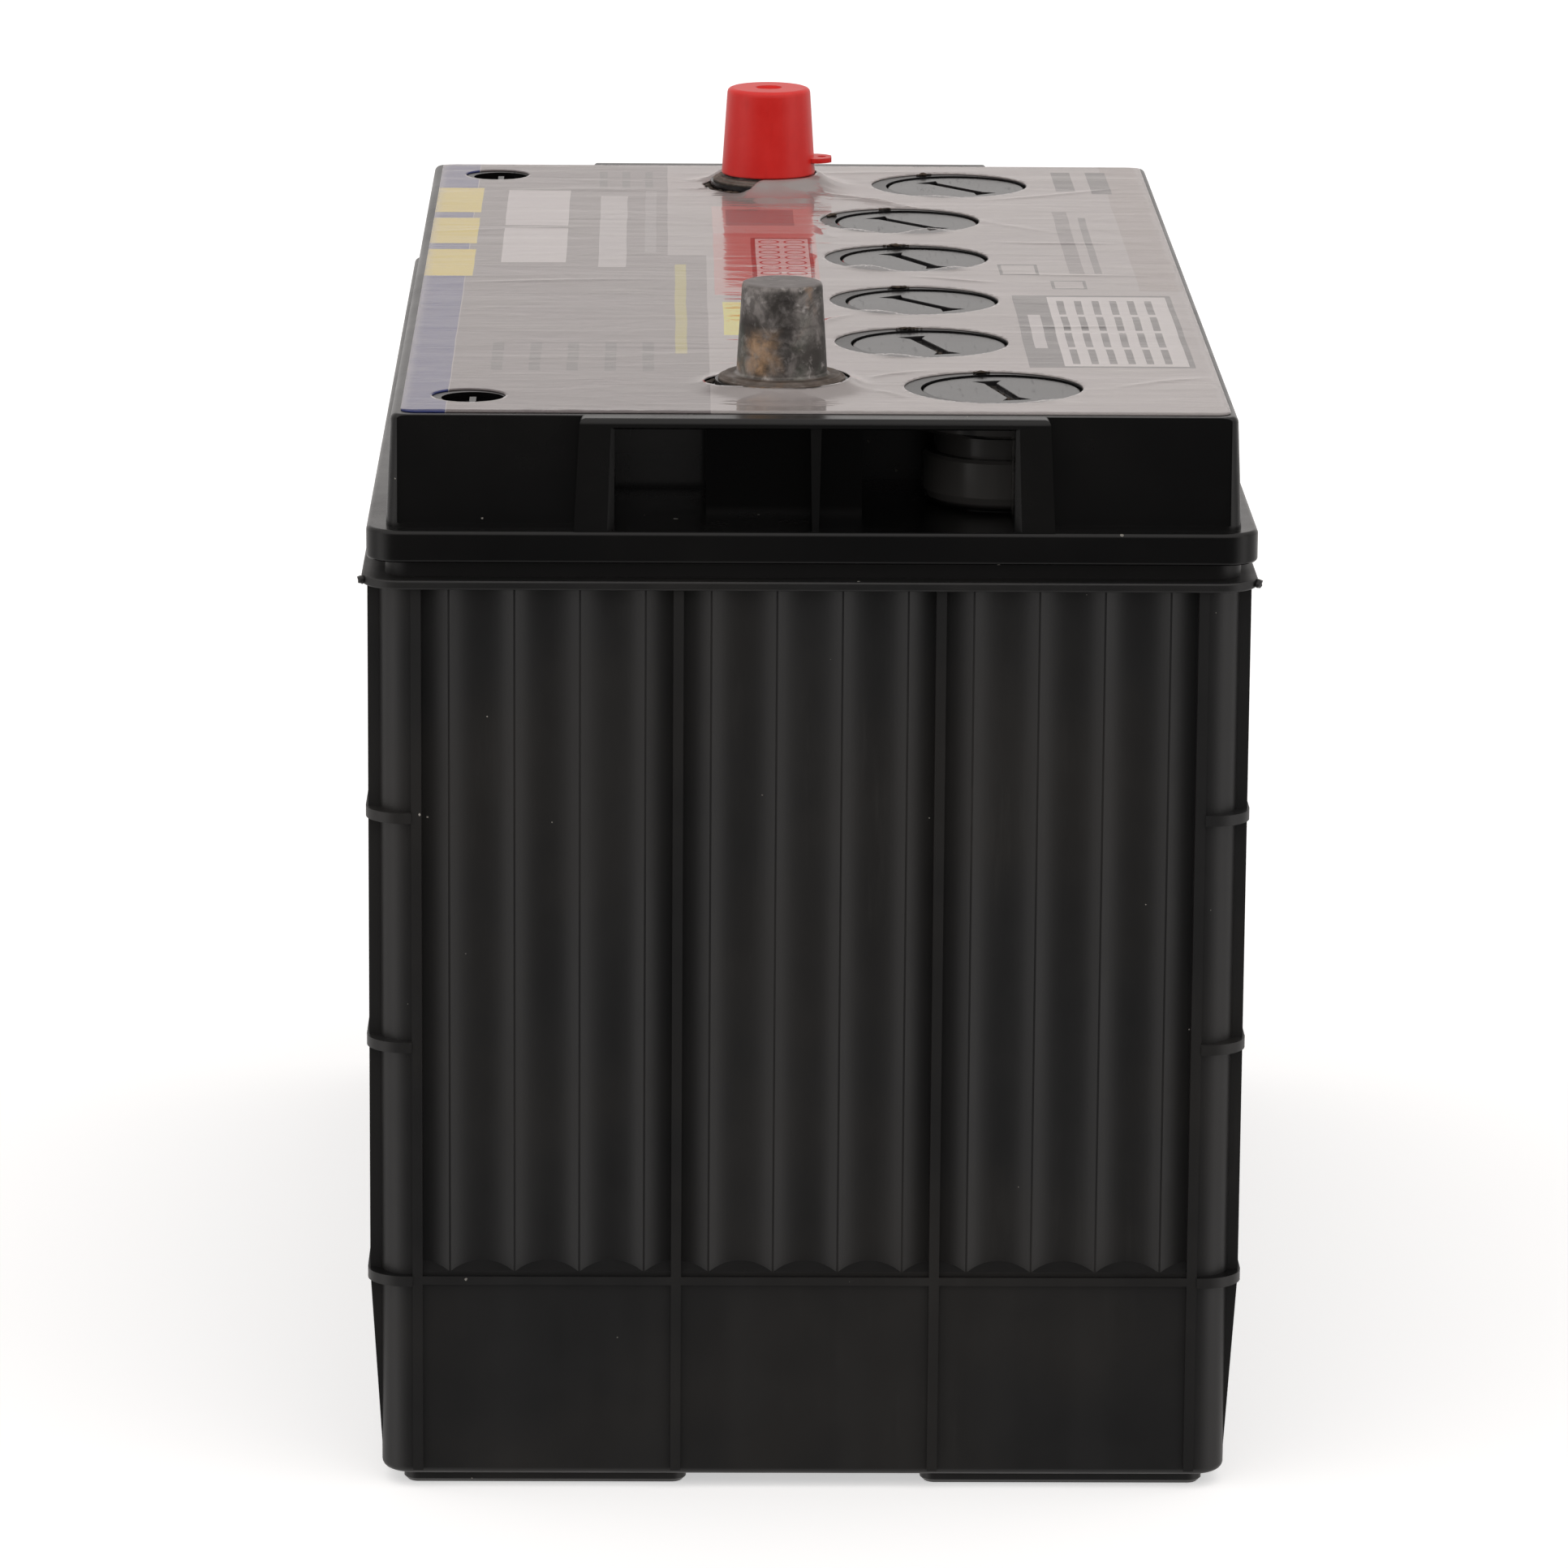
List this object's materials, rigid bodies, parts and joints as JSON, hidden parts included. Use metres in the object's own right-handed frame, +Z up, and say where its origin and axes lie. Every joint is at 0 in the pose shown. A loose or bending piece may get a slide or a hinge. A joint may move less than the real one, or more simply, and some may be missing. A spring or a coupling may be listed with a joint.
{
  "type": "deep cycle battery",
  "caption": "Vented lead-acid deep cycle battery in a fluted black case, with hand-grip pockets in the cover, screw-in vent plugs and tapered lead posts.",
  "frame": {"origin": "centre of the footprint, on the plane of the feet", "axes": "+X across the width towards the vent row, +Y along the length from the negative post to the positive post, +Z up"},
  "size_m": [0.175, 0.3312, 0.2397],
  "materials": {
    "jar_plastic": "moulded black polypropylene, satin",
    "cover_plastic": "moulded black polypropylene, semi-gloss",
    "vent_plastic": "moulded black polypropylene, glossy",
    "gasket_rubber": "black rubber",
    "baffle_plastic": "natural polypropylene",
    "terminal_lead": "cast lead alloy, mottled oxide",
    "cast_lead": "cast lead alloy, dull",
    "positive_paste": "lead dioxide paste, dark brown",
    "negative_paste": "spongy lead, slate grey",
    "separator_sheet": "ribbed microporous sheet",
    "red_vinyl": "soft red vinyl, satin",
    "printed_label": "printed sheet in grey, blue, yellow and red panels",
    "clear_film": "clear glossy film, slightly wrinkled"
  },
  "bodies": {
    "battery": {"case": "jar_plastic", "cover": "cover_plastic", "negative_bushing": "terminal_lead", "positive_bushing": "terminal_lead", "negative_post": "terminal_lead", "positive_post": "terminal_lead", "top_label": "printed_label", "label_film": "clear_film", "cell_1_positive_plates": "positive_paste", "cell_1_negative_plates": "negative_paste", "cell_1_separators": "separator_sheet", "cell_1_positive_strap": "cast_lead", "cell_1_negative_strap": "cast_lead", "cell_2_positive_plates": "positive_paste", "cell_2_negative_plates": "negative_paste", "cell_2_separators": "separator_sheet", "cell_2_positive_strap": "cast_lead", "cell_2_negative_strap": "cast_lead", "cell_3_positive_plates": "positive_paste", "cell_3_negative_plates": "negative_paste", "cell_3_separators": "separator_sheet", "cell_3_positive_strap": "cast_lead", "cell_3_negative_strap": "cast_lead", "cell_4_positive_plates": "positive_paste", "cell_4_negative_plates": "negative_paste", "cell_4_separators": "separator_sheet", "cell_4_positive_strap": "cast_lead", "cell_4_negative_strap": "cast_lead", "cell_5_positive_plates": "positive_paste", "cell_5_negative_plates": "negative_paste", "cell_5_separators": "separator_sheet", "cell_5_positive_strap": "cast_lead", "cell_5_negative_strap": "cast_lead", "cell_6_positive_plates": "positive_paste", "cell_6_negative_plates": "negative_paste", "cell_6_separators": "separator_sheet", "cell_6_positive_strap": "cast_lead", "cell_6_negative_strap": "cast_lead", "intercell_welds": "cast_lead"},
    "post_protector": {"positive_post_cap": "red_vinyl"},
    "vent_seal_1": {"vent_gasket_1": "gasket_rubber"},
    "vent_plug_1": {"vent_cap_1": "vent_plastic", "vent_baffle_1": "baffle_plastic"},
    "vent_seal_2": {"vent_gasket_2": "gasket_rubber"},
    "vent_plug_2": {"vent_cap_2": "vent_plastic", "vent_baffle_2": "baffle_plastic"},
    "vent_seal_3": {"vent_gasket_3": "gasket_rubber"},
    "vent_plug_3": {"vent_cap_3": "vent_plastic", "vent_baffle_3": "baffle_plastic"},
    "vent_seal_4": {"vent_gasket_4": "gasket_rubber"},
    "vent_plug_4": {"vent_cap_4": "vent_plastic", "vent_baffle_4": "baffle_plastic"},
    "vent_seal_5": {"vent_gasket_5": "gasket_rubber"},
    "vent_plug_5": {"vent_cap_5": "vent_plastic", "vent_baffle_5": "baffle_plastic"},
    "vent_seal_6": {"vent_gasket_6": "gasket_rubber"},
    "vent_plug_6": {"vent_cap_6": "vent_plastic", "vent_baffle_6": "baffle_plastic"}
  },
  "joints": [
    {"name": "protector_lift", "type": "slide", "parent": "battery", "child": "post_protector", "axis": [0, 0, 1], "range_m": [0, 0.022]},
    {"name": "vent_lift_1", "type": "slide", "parent": "battery", "child": "vent_seal_1", "axis": [0, 0, 1], "range_m": [0, 0.0075]},
    {"name": "vent_turn_1", "type": "hinge", "parent": "vent_seal_1", "child": "vent_plug_1", "pos_m": [0.0375, -0.1294, 0.2145], "axis": [0, 0, 1], "range_deg": [0, 900]},
    {"name": "vent_lift_2", "type": "slide", "parent": "battery", "child": "vent_seal_2", "axis": [0, 0, 1], "range_m": [0, 0.0075]},
    {"name": "vent_turn_2", "type": "hinge", "parent": "vent_seal_2", "child": "vent_plug_2", "pos_m": [0.0248, -0.0782, 0.2145], "axis": [0, 0, 1], "range_deg": [0, 900]},
    {"name": "vent_lift_3", "type": "slide", "parent": "battery", "child": "vent_seal_3", "axis": [0, 0, 1], "range_m": [0, 0.0075]},
    {"name": "vent_turn_3", "type": "hinge", "parent": "vent_seal_3", "child": "vent_plug_3", "pos_m": [0.0248, -0.0274, 0.2145], "axis": [0, 0, 1], "range_deg": [0, 900]},
    {"name": "vent_lift_4", "type": "slide", "parent": "battery", "child": "vent_seal_4", "axis": [0, 0, 1], "range_m": [0, 0.0075]},
    {"name": "vent_turn_4", "type": "hinge", "parent": "vent_seal_4", "child": "vent_plug_4", "pos_m": [0.0248, 0.0274, 0.2145], "axis": [0, 0, 1], "range_deg": [0, 900]},
    {"name": "vent_lift_5", "type": "slide", "parent": "battery", "child": "vent_seal_5", "axis": [0, 0, 1], "range_m": [0, 0.0075]},
    {"name": "vent_turn_5", "type": "hinge", "parent": "vent_seal_5", "child": "vent_plug_5", "pos_m": [0.0248, 0.0782, 0.2145], "axis": [0, 0, 1], "range_deg": [0, 900]},
    {"name": "vent_lift_6", "type": "slide", "parent": "battery", "child": "vent_seal_6", "axis": [0, 0, 1], "range_m": [0, 0.0075]},
    {"name": "vent_turn_6", "type": "hinge", "parent": "vent_seal_6", "child": "vent_plug_6", "pos_m": [0.0375, 0.1294, 0.2145], "axis": [0, 0, 1], "range_deg": [0, 900]}
  ],
  "couplings": [
    {"joint": "vent_turn_1", "follows": "vent_lift_1", "rad_per_m": 2094.4},
    {"joint": "vent_turn_2", "follows": "vent_lift_2", "rad_per_m": 2094.4},
    {"joint": "vent_turn_3", "follows": "vent_lift_3", "rad_per_m": 2094.4},
    {"joint": "vent_turn_4", "follows": "vent_lift_4", "rad_per_m": 2094.4},
    {"joint": "vent_turn_5", "follows": "vent_lift_5", "rad_per_m": 2094.4},
    {"joint": "vent_turn_6", "follows": "vent_lift_6", "rad_per_m": 2094.4}
  ]
}
